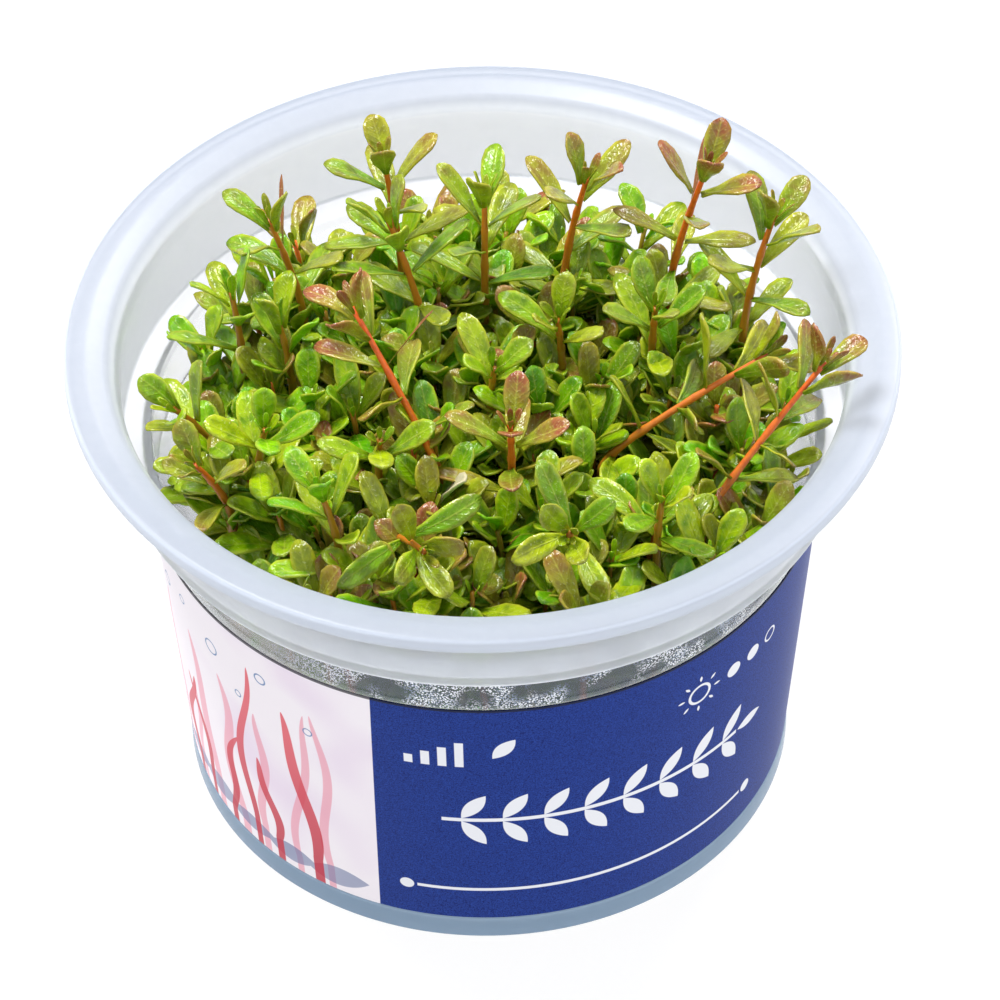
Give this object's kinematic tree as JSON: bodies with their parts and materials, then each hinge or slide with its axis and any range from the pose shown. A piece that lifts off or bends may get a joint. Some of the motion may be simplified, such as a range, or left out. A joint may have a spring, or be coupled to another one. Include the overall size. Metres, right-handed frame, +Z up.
{
  "type": "potted aquarium stem plant",
  "caption": "Rotala stem plants with small paired leaves, growing from nutrient gel in a round translucent lidless culture cup with a wide rim and a wrapped label.",
  "frame": {"origin": "centre of the cup's foot ring, on the plane it stands on", "axes": "+Z up along the cup's axis; -Y is the side with the front of the label; +X to the right seen from the front"},
  "size_m": [0.1, 0.1, 0.082],
  "materials": {
    "clouded_plastic": "satin",
    "printed_label": "satin",
    "nutrient_gel": "gloss",
    "undergrowth_foliage": "satin",
    "shoot_foliage": "satin"
  },
  "bodies": {
    "root": {"cup": "clouded_plastic", "label": "printed_label", "nutrient_gel": "nutrient_gel", "undergrowth_middle": "undergrowth_foliage", "undergrowth_1": "undergrowth_foliage", "undergrowth_2": "undergrowth_foliage", "undergrowth_3": "undergrowth_foliage", "undergrowth_4": "undergrowth_foliage", "undergrowth_5": "undergrowth_foliage", "undergrowth_6": "undergrowth_foliage", "shoot_01": "shoot_foliage", "shoot_02": "shoot_foliage", "shoot_03": "shoot_foliage", "shoot_04": "shoot_foliage", "shoot_05": "shoot_foliage", "shoot_06": "shoot_foliage", "shoot_07": "shoot_foliage", "shoot_08": "shoot_foliage", "shoot_09": "shoot_foliage", "shoot_10": "shoot_foliage", "shoot_11": "shoot_foliage", "shoot_12": "shoot_foliage", "shoot_13": "shoot_foliage", "shoot_14": "shoot_foliage", "shoot_15": "shoot_foliage", "shoot_16": "shoot_foliage", "shoot_17": "shoot_foliage", "shoot_18": "shoot_foliage", "shoot_19": "shoot_foliage", "shoot_20": "shoot_foliage", "shoot_21": "shoot_foliage", "shoot_22": "shoot_foliage", "shoot_23": "shoot_foliage", "shoot_24": "shoot_foliage"}
  },
  "joints": []
}
